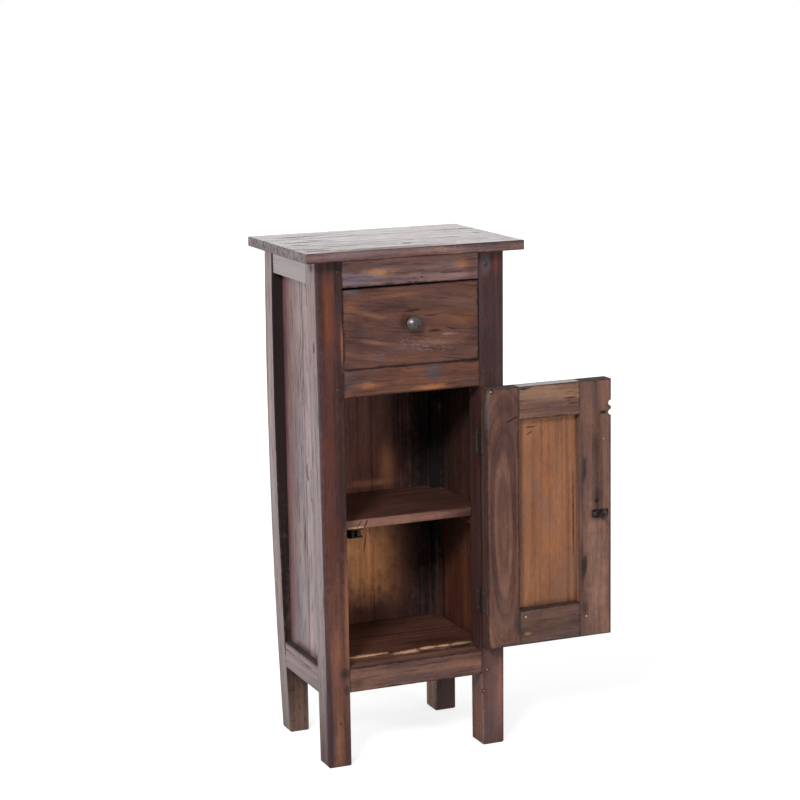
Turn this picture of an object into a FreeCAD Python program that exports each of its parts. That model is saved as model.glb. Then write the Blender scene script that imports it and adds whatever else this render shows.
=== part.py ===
import FreeCAD, Part
import os

# Small free-standing cabinet table of reclaimed timber: a framed carcase on four legs, one drawer
# over a cupboard with a shelf, and a framed door that is hung on two butt hinges on the right.
# Millimetres. X is to the right, Y to the back, Z up. The origin is on the floor, midway between the
# posts. The parts are made with the door standing wide open and the drawer shut.

# Whole carcase
height = 800.0
opening_width = 223.0
frame_depth = 224.0
leg_height = 117.0
cut_overrun = 5.0

# Top of three planks, laid along X
top_thickness = 15.0
top_side_overhang = 23.5
top_front_overhang = 25.0
top_back_overhang = 8.5
plank_depth_shares = (0.35, 0.36, 0.29)

# Posts: the outer face leans in towards the floor, and the back left one is bowed
post_foot_width = 36.5
post_top_width = 42.0
front_post_depth = 40.0
back_post_depth = 36.0
bowed_foot_width = 31.5
bowed_post_bow = 6.2
post_arris_radius = 2.4
foot_wear_share = 0.8

# Mortise and tenon joints
tenon_shoulder = 6.0
tenon_thickness = 10.0
tenon_web = 3.0
joint_fit = 0.15
side_tenon_inset = 23.0
side_tenon_thickness = 9.0
side_tenon_length = 20.0

# Rails across the front and back
front_rail_thickness = 30.0
front_tenon_setback = 10.0
top_rail_height = 43.0
middle_rail_height = 42.0
bottom_rail_height = 38.5
drawer_opening_height = 124.0
back_rail_thickness = 20.0
back_rail_setback = 2.0
back_tenon_thickness = 8.0

# Rails and boarded panels at the sides
side_rail_setback = 0.6
side_rail_inset = 12.0
side_top_rail_height = 38.0
side_bottom_rail_height = 42.0
side_rail_drop = 5.5
panel_inset = 16.5
panel_thickness = 10.0
panel_groove = 6.0
panel_fit = 0.2
board_lap = 5.0
board_gap = 0.5
side_board_shares = (0.42, 0.58)
back_panel_thickness = 8.0
back_board_shares = (0.54, 0.46)

# Floor of the cupboard, shelf and the cleats that carry them
floor_thickness = 12.0
floor_rise = 7.5
board_clearance = 0.5
shelf_thickness = 14.0
shelf_setback = 34.0
shelf_height_share = 0.497
cleat_height = 15.0

# Drawer and what it runs on
drawer_side_gap = 1.2
drawer_top_gap_left = 3.6
drawer_top_gap_right = 1.8
drawer_setback = 0.5
drawer_run_clearance = 0.3
drawer_front_thickness = 18.0
drawer_rabbet = 8.0
drawer_side_thickness = 12.0
drawer_side_drop = 14.0
drawer_back_gap = 17.5
drawer_bottom_thickness = 6.0
drawer_bottom_rise = 9.0
drawer_groove = 5.0
runner_width = 21.0
runner_height = 22.0
guide_rise = 24.0
kicker_width = 23.0

# Knobs, with one screw each from the inside
knob_head_radius = 11.8
knob_neck_radius = 5.0
knob_foot_radius = 7.5
knob_foot_length = 2.5
knob_neck_length = 8.5
knob_rim = 3.0
knob_crown_rise = 7.5
knob_screw_radius = 1.9
knob_screw_head_radius = 3.6
knob_screw_head_depth = 2.0
knob_screw_depth = 10.0
knob_screw_fit = 0.1
drawer_knob_shift = -1.7
drawer_knob_height_share = 0.54

# Framed door, sizes as it stands closed
door_thickness = 23.0
hinge_gap = 2.0
lock_gap = 7.5
door_top_gap = 1.8
door_bottom_gap = 8.0
stile_width = 54.0
door_top_rail_height = 52.0
door_bottom_rail_height = 56.0
door_tenon_length = 26.0
door_tenon_thickness = 7.0
door_panel_thickness = 7.0
door_panel_recess = 13.0
door_groove = 6.0
notch_radius = 4.6
notch_depth = 4.4
notch_drops = (38.5, 53.0)
door_knob_from_edge = 25.0
door_knob_height_share = 0.53
door_open_angle = 180.0

# Butt hinges
hinge_axis_proud = 0.8
hinge_height = 41.0
hinge_upper_drop = 84.5
hinge_lower_rise = 73.0
leaf_thickness = 1.4
leaf_gap = 0.4
leaf_width = 18.0
knuckle_radius = 2.8
knuckle_clearance = 0.3
knuckle_shares = (0.3, 0.4, 0.3)
hinge_pin_radius = 1.25
pin_head_radius = 1.9
pin_head_height = 1.2
running_fit = 0.05

# Double roller catch under the shelf and its spear on the door
catch_from_edge = 19.0
catch_width = 24.0
catch_plate = 1.2
catch_inner_height = 10.6
catch_flange = 12.0
roller_radius = 3.2
roller_gap = 3.6
roller_proud = 5.5
arm_length = 13.0
arm_height = 10.0
arm_plate = 1.2
arm_width = 4.0
arm_web = 1.6
arm_eye_radius = 2.2
catch_pin_radius = 1.0
roller_side_clearance = 0.2
roller_back_clearance = 0.5

# Strike plate with its spear
strike_width = 28.0
strike_height = 13.0
strike_thickness = 1.2
strike_rise = 3.0
spear_height = 8.0
spear_neck_half = 1.2
spear_head_half = 2.7
spear_tip_half = 0.6
spear_shoulder = 1.6
spear_flare = 3.4
spear_reach = 7.5

# Places that follow from the sizes above
opening_half = opening_width / 2
frame_front = -frame_depth / 2
frame_back = frame_depth / 2
post_height = height - top_thickness
drawer_opening_top = post_height - top_rail_height
drawer_opening_floor = drawer_opening_top - drawer_opening_height
door_opening_top = drawer_opening_floor - middle_rail_height
door_opening_floor = leg_height + bottom_rail_height
door_opening_height = door_opening_top - door_opening_floor
front_post_back = frame_front + front_post_depth
back_post_front = frame_back - back_post_depth
front_rail_back = frame_front + front_rail_thickness
back_rail_back = frame_back - back_rail_setback
back_rail_front = back_rail_back - back_rail_thickness
front_tenon_length = side_tenon_inset - tenon_web
side_rail_inner = opening_half + side_rail_inset
panel_inner = opening_half + panel_inset
panel_outer = panel_inner + panel_thickness
back_panel_middle = (back_rail_front + back_rail_back) / 2
back_panel_front = back_panel_middle - back_panel_thickness / 2
back_panel_back = back_panel_middle + back_panel_thickness / 2
side_bottom_rail_floor = leg_height - side_rail_drop
side_bottom_rail_top = side_bottom_rail_floor + side_bottom_rail_height
side_top_rail_floor = post_height - side_top_rail_height
shelf_floor = door_opening_floor + shelf_height_share * door_opening_height
shelf_front = frame_front + shelf_setback
floor_top = door_opening_floor + floor_rise
hinge_x = opening_half - hinge_gap / 2
hinge_y = frame_front - hinge_axis_proud
door_right = opening_half - hinge_gap
door_left = -opening_half + lock_gap
door_floor = door_opening_floor + door_bottom_gap
door_top = door_opening_top - door_top_gap
door_inner = frame_front + door_thickness
catch_x = door_left + catch_from_edge
catch_top = shelf_floor
catch_middle = catch_top - catch_plate - catch_inner_height / 2
roller_y = shelf_front - roller_proud + roller_radius

pieces = {}


def block(x0, x1, y0, y1, z0, z1):
    """A box between two corners."""
    return Part.makeBox(x1 - x0, y1 - y0, z1 - z0, FreeCAD.Vector(x0, y0, z0))


def stick(axis, a0, a1, c0, c1, z0, z1):
    """A box with its length a along X or Y and its thickness c across it."""
    if axis == "x":
        return block(a0, a1, c0, c1, z0, z1)
    return block(c0, c1, a0, a1, z0, z1)


def upright(radius, x, y, z0, z1):
    """A standing cylinder."""
    return Part.makeCylinder(radius, z1 - z0, FreeCAD.Vector(x, y, z0))


def mirrored(shape):
    """The same piece on the other side of the carcase."""
    return shape.mirror(FreeCAD.Vector(0, 0, 0), FreeCAD.Vector(1, 0, 0))


def joined(first, *others):
    """Several shapes fused to one clean solid."""
    return first.fuse(list(others)).removeSplitter()


def rail_with_tenons(axis, a0, a1, c0, c1, z0, z1, t0, t1, length):
    """A rail with tenons from t0 to t1 across its thickness, and the mortises that take them."""
    low = z0 + tenon_shoulder
    high = z1 - tenon_shoulder
    body = stick(axis, a0, a1, c0, c1, z0, z1)
    tenons = stick(axis, a0 - length, a1 + length, t0, t1, low, high)
    reach = length + joint_fit
    mortises = stick(
        axis, a0 - reach, a1 + reach, t0 - joint_fit, t1 + joint_fit, low - joint_fit, high + joint_fit)
    return joined(body, tenons), mortises


def boards(axis, start, end, shares, c0, c1, z0, z1):
    """Upright boards side by side, each lapping over half the thickness of the next."""
    middle = (c0 + c1) / 2
    made = []
    edge = start
    for number, share in enumerate(shares):
        first = number == 0
        last = number == len(shares) - 1
        far = end if last else edge + share * (end - start)
        near = edge if first else edge + board_gap
        board = stick(axis, near, far, c0, c1, z0, z1)
        if not last:
            board = joined(board, stick(axis, far, far + board_lap, c0, middle, z0, z1))
        if not first:
            low = z0 - cut_overrun
            high = z1 + cut_overrun
            rebate = stick(
                axis, edge, edge + board_lap + board_gap, c0 - cut_overrun, middle + board_gap, low, high)
            board = board.cut(rebate)
        made.append(board)
        edge = far
    return made


def swung_open(shape):
    """A piece of the door, turned from the closed door to where the open door stands."""
    moved = shape.copy()
    moved.rotate(FreeCAD.Vector(hinge_x, hinge_y, 0), FreeCAD.Vector(0, 0, 1), door_open_angle)
    return moved


# Rails with tenons. Each entry of post_cuts is taken out of every post.
post_cuts = []
front_tenon = frame_front + front_tenon_setback
for name, floor, rise in (
    ("rail_front_top", drawer_opening_top, top_rail_height),
    ("rail_front_middle", door_opening_top, middle_rail_height),
    ("rail_front_bottom", leg_height, bottom_rail_height),
):
    pieces[name], mortises = rail_with_tenons(
        "x", -opening_half, opening_half, frame_front, front_rail_back, floor, floor + rise,
        front_tenon, front_tenon + tenon_thickness, front_tenon_length)
    post_cuts.append(mortises)

back_tenon = back_panel_middle - back_tenon_thickness / 2
for name, floor, rise in (
    ("rail_back_top", drawer_opening_top, top_rail_height),
    ("rail_back_bottom", leg_height, bottom_rail_height),
):
    pieces[name], mortises = rail_with_tenons(
        "x", -opening_half, opening_half, back_rail_front, back_rail_back, floor, floor + rise,
        back_tenon, back_tenon + back_tenon_thickness, front_tenon_length)
    post_cuts.append(mortises)


def post_outer(z):
    """How far the straight outer face of a post stands from the middle at a height."""
    return opening_half + post_foot_width + (post_top_width - post_foot_width) * z / post_height


side_tenon = opening_half + side_tenon_inset
side_rails = {}
for level, floor, rise in (
    ("top", side_top_rail_floor, side_top_rail_height),
    ("bottom", side_bottom_rail_floor, side_bottom_rail_height),
):
    face = post_outer(floor) - side_rail_setback
    side_rails[level], mortises = rail_with_tenons(
        "y", front_post_back, back_post_front, side_rail_inner, face, floor, floor + rise,
        side_tenon, side_tenon + side_tenon_thickness, side_tenon_length)
    post_cuts.append(mortises)
    post_cuts.append(mirrored(mortises))

# Boarded panels, loose in grooves of the posts and rails. The grooves are the panels grown by a fit.
panel_floor = side_bottom_rail_top - panel_groove
panel_top = side_top_rail_floor + panel_groove
panel_start = front_post_back - panel_groove
panel_end = back_post_front + panel_groove
side_groove = stick(
    "y", panel_start - panel_fit, panel_end + panel_fit, panel_inner - panel_fit, panel_outer + panel_fit,
    panel_floor - panel_fit, panel_top + panel_fit)
for side in ("left", "right"):
    for level in ("top", "bottom"):
        rail = side_rails[level].cut(side_groove)
        pieces["rail_" + side + "_" + level] = mirrored(rail) if side == "left" else rail
    made = boards(
        "y", panel_start, panel_end, side_board_shares, panel_inner, panel_outer, panel_floor, panel_top)
    for place, board in zip(("front", "back"), made):
        pieces["side_board_" + side + "_" + place] = mirrored(board) if side == "left" else board
post_cuts.append(side_groove)
post_cuts.append(mirrored(side_groove))

back_floor = door_opening_floor - panel_groove
back_top = drawer_opening_top + panel_groove
back_reach = opening_half + panel_groove
back_groove = stick(
    "x", -back_reach - panel_fit, back_reach + panel_fit, back_panel_front - panel_fit,
    back_panel_back + panel_fit, back_floor - panel_fit, back_top + panel_fit)
made = boards(
    "x", -back_reach, back_reach, back_board_shares, back_panel_front, back_panel_back, back_floor, back_top)
for place, board in zip(("left", "right"), made):
    pieces["back_board_" + place] = board
for name in ("rail_back_top", "rail_back_bottom"):
    pieces[name] = pieces[name].cut(back_groove)
post_cuts.append(back_groove)


def post(foot_width, bow, y0, y1):
    """A right-hand post: upright inner face, leaning or bowed outer face, worn arrises and foot."""
    foot_x = opening_half + foot_width
    top_x = opening_half + post_top_width
    inner_foot = FreeCAD.Vector(opening_half, y0, 0)
    inner_top = FreeCAD.Vector(opening_half, y0, post_height)
    outer_top = FreeCAD.Vector(top_x, y0, post_height)
    outer_foot = FreeCAD.Vector(foot_x, y0, 0)
    outer = Part.LineSegment(outer_top, outer_foot)
    if bow:
        middle = FreeCAD.Vector((foot_x + top_x) / 2 + bow, y0, post_height / 2)
        outer = Part.Arc(outer_top, middle, outer_foot)
    outline = [Part.LineSegment(outer_foot, inner_foot), Part.LineSegment(inner_foot, inner_top)]
    outline += [Part.LineSegment(inner_top, outer_top), outer]
    side = Part.Face(Part.Wire([edge.toShape() for edge in outline]))
    solid = side.extrude(FreeCAD.Vector(0, y1 - y0, 0))
    tall = [e for e in solid.Edges if e.BoundBox.ZLength > post_height / 2]
    worn = [e for e in tall if e.BoundBox.XMax > opening_half + post_arris_radius]
    solid = solid.makeFillet(post_arris_radius, worn)
    foot = [e for e in solid.Edges if e.BoundBox.ZMax < post_arris_radius / 2]
    return solid.makeChamfer(post_arris_radius * foot_wear_share, foot)


for name, foot_width, bow, y0, y1 in (
    ("post_front_left", post_foot_width, 0, frame_front, front_post_back),
    ("post_front_right", post_foot_width, 0, frame_front, front_post_back),
    ("post_back_left", bowed_foot_width, bowed_post_bow, back_post_front, frame_back),
    ("post_back_right", post_foot_width, 0, back_post_front, frame_back),
):
    solid = post(foot_width, bow, y0, y1)
    if name.endswith("left"):
        solid = mirrored(solid)
    pieces[name] = solid.cut(post_cuts)

# Top planks, edge to edge, resting on the posts and rails
top_half = opening_half + post_top_width + top_side_overhang
top_front = frame_front - top_front_overhang
top_depth = frame_depth + top_front_overhang + top_back_overhang
plank_front = top_front
for name, share in zip(("front", "middle", "back"), plank_depth_shares):
    plank_back = plank_front + share * top_depth
    pieces["top_plank_" + name] = block(-top_half, top_half, plank_front, plank_back, post_height, height)
    plank_front = plank_back

# Cupboard floor and shelf, notched round the posts, on cleats between the posts
board_front_notch = front_post_back + board_clearance
board_back_notch = back_post_front - board_clearance
cleat_start = front_post_back
cleat_end = back_post_front


def notched_board(half_width, y0, y1, z0, z1):
    """A board that is full width between the posts and narrow in line with them."""
    narrow = opening_half - board_clearance
    return joined(
        block(-narrow, narrow, y0, y1, z0, z1),
        block(-half_width, half_width, board_front_notch, board_back_notch, z0, z1))


floor_bottom = floor_top - floor_thickness
pieces["cupboard_floor"] = notched_board(
    side_rail_inner - board_clearance, front_rail_back, back_rail_front, floor_bottom, floor_top)
pieces["shelf"] = notched_board(
    panel_inner - board_clearance, shelf_front, back_panel_front - board_clearance,
    shelf_floor, shelf_floor + shelf_thickness)
floor_cleat = stick(
    "y", cleat_start, cleat_end, opening_half, side_rail_inner, floor_bottom - cleat_height, floor_bottom)
shelf_cleat = stick(
    "y", cleat_start, cleat_end, opening_half, panel_inner, shelf_floor - cleat_height, shelf_floor)
for name, cleat in (("floor_cleat", floor_cleat), ("shelf_cleat", shelf_cleat)):
    pieces[name + "_right"] = cleat
    pieces[name + "_left"] = mirrored(cleat)

# Drawer runners with their guides in one rebated length, and the kickers that also hold the top down
runner_inner = opening_half - runner_width
runner = joined(
    block(runner_inner, opening_half, front_rail_back, back_panel_front - board_clearance,
          drawer_opening_floor - runner_height, drawer_opening_floor),
    block(opening_half, panel_inner, front_post_back, back_post_front,
          drawer_opening_floor - runner_height, drawer_opening_floor + guide_rise))
kicker = block(
    side_rail_inner - kicker_width, side_rail_inner, front_post_back, back_post_front, drawer_opening_top,
    post_height)
for name, piece in (("drawer_runner", runner), ("drawer_kicker", kicker)):
    pieces[name + "_right"] = piece
    pieces[name + "_left"] = mirrored(piece)

# Drawer: rabbeted front with a hand-planed top edge, two sides, back and a bottom board in grooves
drawer_floor = drawer_opening_floor + drawer_run_clearance
drawer_top_left = drawer_opening_top - drawer_top_gap_left
drawer_top_right = drawer_opening_top - drawer_top_gap_right
drawer_half = opening_half - drawer_side_gap
drawer_face = frame_front + drawer_setback
drawer_front_back = drawer_face + drawer_front_thickness
drawer_end = back_panel_front - drawer_back_gap
drawer_side_start = drawer_front_back - drawer_rabbet
drawer_side_inner = drawer_half - drawer_side_thickness
drawer_side_top = drawer_top_left - drawer_side_drop
bottom_low = drawer_floor + drawer_bottom_rise
bottom_high = bottom_low + drawer_bottom_thickness
bottom_half = drawer_side_inner + drawer_groove
drawer_back_start = drawer_end - drawer_side_thickness
bottom_start = drawer_side_start - drawer_groove
bottom_slot = block(
    -bottom_half - panel_fit, bottom_half + panel_fit, bottom_start - panel_fit, drawer_end + cut_overrun,
    bottom_low - panel_fit, bottom_high + panel_fit)
drawer_side = block(
    drawer_side_inner, drawer_half, drawer_side_start, drawer_end, drawer_floor, drawer_side_top)
drawer_side_seat = block(
    drawer_side_inner, drawer_half + cut_overrun, drawer_side_start, drawer_end, drawer_floor - cut_overrun,
    drawer_side_top)
face_corners = [
    FreeCAD.Vector(-drawer_half, drawer_face, drawer_floor),
    FreeCAD.Vector(drawer_half, drawer_face, drawer_floor),
    FreeCAD.Vector(drawer_half, drawer_face, drawer_top_right),
    FreeCAD.Vector(-drawer_half, drawer_face, drawer_top_left),
]
drawer_front = Part.Face(Part.makePolygon(face_corners + [face_corners[0]]))
drawer_front = drawer_front.extrude(FreeCAD.Vector(0, drawer_front_thickness, 0))
drawer_front = drawer_front.cut([drawer_side_seat, mirrored(drawer_side_seat), bottom_slot])
pieces["drawer_side_right"] = drawer_side.cut(bottom_slot)
pieces["drawer_side_left"] = mirrored(pieces["drawer_side_right"])
pieces["drawer_back"] = block(
    -drawer_side_inner, drawer_side_inner, drawer_back_start, drawer_end, bottom_high, drawer_side_top)
pieces["drawer_bottom"] = block(-bottom_half, bottom_half, bottom_start, drawer_end, bottom_low, bottom_high)


def turned(radius, y0, y1):
    """A cylinder along Y, such as a turned step of a knob."""
    return Part.makeCylinder(radius, y1 - y0, FreeCAD.Vector(0, y0, 0), FreeCAD.Vector(0, 1, 0))


def knob():
    """A turned mushroom knob that stands along -Y from its foot at the origin."""
    under = -knob_foot_length - knob_neck_length
    rim = under - knob_rim
    crown = rim - knob_crown_rise
    crown_radius = (knob_head_radius ** 2 + knob_crown_rise ** 2) / (2 * knob_crown_rise)
    ball = Part.makeSphere(crown_radius, FreeCAD.Vector(0, crown + crown_radius, 0))
    return joined(
        turned(knob_foot_radius, -knob_foot_length, 0), turned(knob_neck_radius, under, -knob_foot_length),
        turned(knob_head_radius, crown, under).common(ball))


def knob_screw(thickness, grow):
    """The screw of a knob, from its head flush in the back of a panel, or with grow its hole."""
    seat = thickness - knob_screw_head_depth - grow
    return joined(
        turned(knob_screw_radius + grow, -knob_screw_depth - grow, seat),
        turned(knob_screw_head_radius + grow, seat, thickness))


def knob_on(panel, x, z, face, thickness):
    """Screws a knob to the front of a panel from the inside: the drilled panel, the knob and the screw."""
    fitted = []
    for shape in (knob(), knob_screw(thickness, 0), knob_screw(thickness, knob_screw_fit)):
        shape.translate(FreeCAD.Vector(x, face, z))
        fitted.append(shape)
    handle, screw, hole = fitted
    return panel.cut(hole), handle.cut(hole), screw


drawer_knob_z = drawer_floor + (drawer_top_left - drawer_floor) * drawer_knob_height_share
pieces["drawer_front"], pieces["drawer_knob"], pieces["drawer_knob_screw"] = knob_on(
    drawer_front, drawer_knob_shift, drawer_knob_z, drawer_face, drawer_front_thickness)

# Door frame, closed: full-height stiles, rails tenoned between them, and a panel in grooves
door_rail_right = door_right - stile_width
door_rail_left = door_left + stile_width
door_tenon = frame_front + (door_thickness - door_tenon_thickness) / 2
door_panel_back = door_inner - door_panel_recess
door_panel_front = door_panel_back - door_panel_thickness
door_panel_floor = door_floor + door_bottom_rail_height - door_groove
door_panel_top = door_top - door_top_rail_height + door_groove
door_panel_left = door_rail_left - door_groove
door_panel_right = door_rail_right + door_groove
door_groove_cut = block(
    door_panel_left - panel_fit, door_panel_right + panel_fit, door_panel_front - panel_fit,
    door_panel_back + panel_fit, door_panel_floor - panel_fit, door_panel_top + panel_fit)
door_cuts = [door_groove_cut]
door = {}
for name, floor, top in (
    ("door_top_rail", door_top - door_top_rail_height, door_top),
    ("door_bottom_rail", door_floor, door_floor + door_bottom_rail_height),
):
    rail, mortises = rail_with_tenons(
        "x", door_rail_left, door_rail_right, frame_front, door_inner, floor, top,
        door_tenon, door_tenon + door_tenon_thickness, door_tenon_length)
    door[name] = rail.cut(door_groove_cut)
    door_cuts.append(mortises)
door["door_panel"] = block(
    door_panel_left, door_panel_right, door_panel_front, door_panel_back, door_panel_floor, door_panel_top)
door["door_hinge_stile"] = block(
    door_rail_right, door_right, frame_front, door_inner, door_floor, door_top).cut(door_cuts)
notches = []
for drop in notch_drops:
    notch_x = door_left + notch_depth - notch_radius
    centre = FreeCAD.Vector(notch_x, frame_front - cut_overrun, door_top - drop)
    through = door_thickness + cut_overrun * 2
    notches.append(Part.makeCylinder(notch_radius, through, centre, FreeCAD.Vector(0, 1, 0)))
lock_stile = block(door_left, door_rail_left, frame_front, door_inner, door_floor, door_top)
lock_stile = lock_stile.cut(door_cuts + notches)
door_knob_x = door_left + door_knob_from_edge
door_knob_z = door_floor + (door_top - door_floor) * door_knob_height_share
lock_stile, door["door_knob"], door["door_knob_screw"] = knob_on(
    lock_stile, door_knob_x, door_knob_z, frame_front, door_thickness)

# Butt hinges: one leaf in the post, one in the hinge stile, and a pin through their knuckles
post_leaf_face = hinge_x + leaf_gap / 2
post_leaf_back = post_leaf_face + leaf_thickness
door_leaf_face = hinge_x - leaf_gap / 2
door_leaf_back = door_leaf_face - leaf_thickness
relief_radius = knuckle_radius + knuckle_clearance
leaf_start = hinge_y + relief_radius
leaf_end = hinge_y + leaf_width
hinge_pins = []
for name, middle in (("upper", door_top - hinge_upper_drop), ("lower", door_floor + hinge_lower_rise)):
    low = middle - hinge_height / 2
    high = middle + hinge_height / 2
    relief_top = high + pin_head_height + knuckle_clearance
    relief = upright(relief_radius, hinge_x, hinge_y, low - knuckle_clearance, relief_top)
    post_leaf = block(post_leaf_face, post_leaf_back, leaf_start, leaf_end, low, high)
    door_leaf = block(door_leaf_back, door_leaf_face, leaf_start, leaf_end, low, high)
    post_seat = block(post_leaf_face, post_leaf_back, frame_front - cut_overrun, leaf_end, low, high)
    door_seat = block(door_leaf_back, door_leaf_face, frame_front - cut_overrun, leaf_end, low, high)
    bore = upright(hinge_pin_radius + running_fit, hinge_x, hinge_y, low - cut_overrun, high + cut_overrun)
    start = low
    for number, share in enumerate(knuckle_shares):
        end = start + share * hinge_height
        knuckle_low = start + (knuckle_clearance / 2 if number > 0 else 0)
        knuckle_high = end - (knuckle_clearance / 2 if number < len(knuckle_shares) - 1 else 0)
        knuckle = upright(knuckle_radius, hinge_x, hinge_y, knuckle_low, knuckle_high)
        if number == 1:
            tang = block(door_leaf_back, door_leaf_face, hinge_y, leaf_start, knuckle_low, knuckle_high)
            door_leaf = joined(door_leaf, tang, knuckle)
        else:
            tang = block(post_leaf_face, post_leaf_back, hinge_y, leaf_start, knuckle_low, knuckle_high)
            post_leaf = joined(post_leaf, tang, knuckle)
        start = end
    pieces["hinge_" + name + "_post_leaf"] = post_leaf.cut(bore)
    door["hinge_" + name + "_door_leaf"] = door_leaf.cut(bore)
    hinge_pins.append(joined(
        upright(hinge_pin_radius, hinge_x, hinge_y, low, high),
        upright(pin_head_radius, hinge_x, hinge_y, high, high + pin_head_height)))
    pieces["post_front_right"] = pieces["post_front_right"].cut([relief, post_seat])
    door["door_hinge_stile"] = door["door_hinge_stile"].cut([relief, door_seat])
pieces["hinge_pins"] = Part.makeCompound(hinge_pins)

# Roller catch: a folded housing screwed under the shelf, two sprung arms on rivets, a roller on each
roller_offset = roller_gap / 2 + roller_radius
arm_pivot_y = roller_y + arm_length
catch_floor = catch_top - catch_plate - catch_inner_height - catch_plate
web_front = arm_pivot_y + arm_eye_radius + knuckle_clearance
web_back = web_front + catch_plate
catch_left = catch_x - catch_width / 2
catch_right = catch_x + catch_width / 2
plate_front = roller_y - arm_eye_radius
flange_back = web_back + catch_flange
housing = joined(
    block(catch_left, catch_right, plate_front, flange_back, catch_top - catch_plate, catch_top),
    block(catch_left, catch_right, web_front, web_back, catch_floor, catch_top),
    block(catch_left, catch_right, plate_front, web_back, catch_floor, catch_floor + catch_plate))
arm_low = catch_middle - arm_height / 2
arm_high = catch_middle + arm_height / 2
roller_low = arm_low + arm_plate + roller_side_clearance
roller_high = arm_high - arm_plate - roller_side_clearance
for side, sign in (("left", -1), ("right", 1)):
    x = catch_x + sign * roller_offset
    rivet = upright(catch_pin_radius, x, arm_pivot_y, catch_floor, catch_top)
    housing = joined(housing, rivet)
    arm = upright(arm_eye_radius, x, arm_pivot_y, arm_low, arm_high)
    web_end = roller_y + roller_radius + roller_back_clearance
    arm = joined(arm, block(x - arm_web / 2, x + arm_web / 2, web_end, arm_pivot_y, arm_low, arm_high))
    for low, high in ((arm_low, arm_low + arm_plate), (arm_high - arm_plate, arm_high)):
        arm = joined(
            arm, block(x - arm_width / 2, x + arm_width / 2, roller_y, arm_pivot_y, low, high),
            upright(arm_width / 2, x, roller_y, low, high))
    rivet_bore = upright(catch_pin_radius + running_fit, x, arm_pivot_y, catch_floor, catch_top)
    pin = upright(catch_pin_radius, x, roller_y, arm_low, arm_high)
    pin_bore = upright(catch_pin_radius + running_fit, x, roller_y, arm_low, arm_high)
    pieces["catch_arm_" + side] = joined(arm.cut(rivet_bore), pin)
    roller = upright(roller_radius, x, roller_y, roller_low, roller_high)
    pieces["catch_roller_" + side] = roller.cut(pin_bore)
pieces["catch_housing"] = housing

# Strike: a plate on the lock stile with an arrow-headed spear that the rollers close behind
strike_middle = catch_middle + strike_rise
strike_face = door_inner + strike_thickness
plate = block(
    catch_x - strike_width / 2, catch_x + strike_width / 2, door_inner, strike_face,
    strike_middle - strike_height / 2, strike_middle + strike_height / 2)
half_outline = [
    (spear_neck_half, door_inner),
    (spear_neck_half, roller_y + spear_shoulder),
    (spear_head_half, roller_y + spear_flare),
    (spear_tip_half, roller_y + spear_reach),
]
spear_low = catch_middle - spear_height / 2
outline = [FreeCAD.Vector(catch_x + half, y, spear_low) for half, y in half_outline]
outline += [FreeCAD.Vector(catch_x - half, y, spear_low) for half, y in reversed(half_outline)]
spear = Part.Face(Part.makePolygon(outline + [outline[0]])).extrude(FreeCAD.Vector(0, 0, spear_height))
door["strike_spear"] = joined(plate, spear)
door["door_lock_stile"] = lock_stile

for name, shape in door.items():
    pieces[name] = swung_open(shape)

os.makedirs("parts", exist_ok=True)
for name, shape in pieces.items():
    shape.exportStep("parts/" + name + ".step")
print(len(pieces), "pieces")
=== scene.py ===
import bmesh
import bpy
import math
from mathutils import Matrix, Vector


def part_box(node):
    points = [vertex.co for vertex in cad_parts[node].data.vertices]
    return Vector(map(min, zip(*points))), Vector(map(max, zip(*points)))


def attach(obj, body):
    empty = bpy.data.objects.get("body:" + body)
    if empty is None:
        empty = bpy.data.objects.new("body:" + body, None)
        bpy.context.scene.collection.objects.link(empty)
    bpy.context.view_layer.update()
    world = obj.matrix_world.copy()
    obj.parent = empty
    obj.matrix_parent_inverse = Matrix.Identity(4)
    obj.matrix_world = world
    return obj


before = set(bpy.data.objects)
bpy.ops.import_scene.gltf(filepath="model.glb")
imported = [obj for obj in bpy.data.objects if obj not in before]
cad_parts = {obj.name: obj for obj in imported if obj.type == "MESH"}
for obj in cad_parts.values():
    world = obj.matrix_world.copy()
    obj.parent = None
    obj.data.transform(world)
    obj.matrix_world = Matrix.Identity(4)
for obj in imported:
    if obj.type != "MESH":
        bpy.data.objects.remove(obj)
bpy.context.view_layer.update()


# Posts
# Four corner posts of old hardwood, sawn from beams, with the outer faces leaning in towards the floor.
# They are mortised for every rail and grooved for the panels, and use has rounded arrises and feet.
def tint(red, green, blue):
    """A colour as on a chart, in parts from 0 to 255, turned into what the shader wants."""
    linear = []
    for part in (red, green, blue):
        share = part / 255
        linear.append(share / 12.92 if share <= 0.04045 else ((share + 0.055) / 1.055) ** 2.4)
    return (*linear, 1.0)


wax_roughness = 0.25


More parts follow.
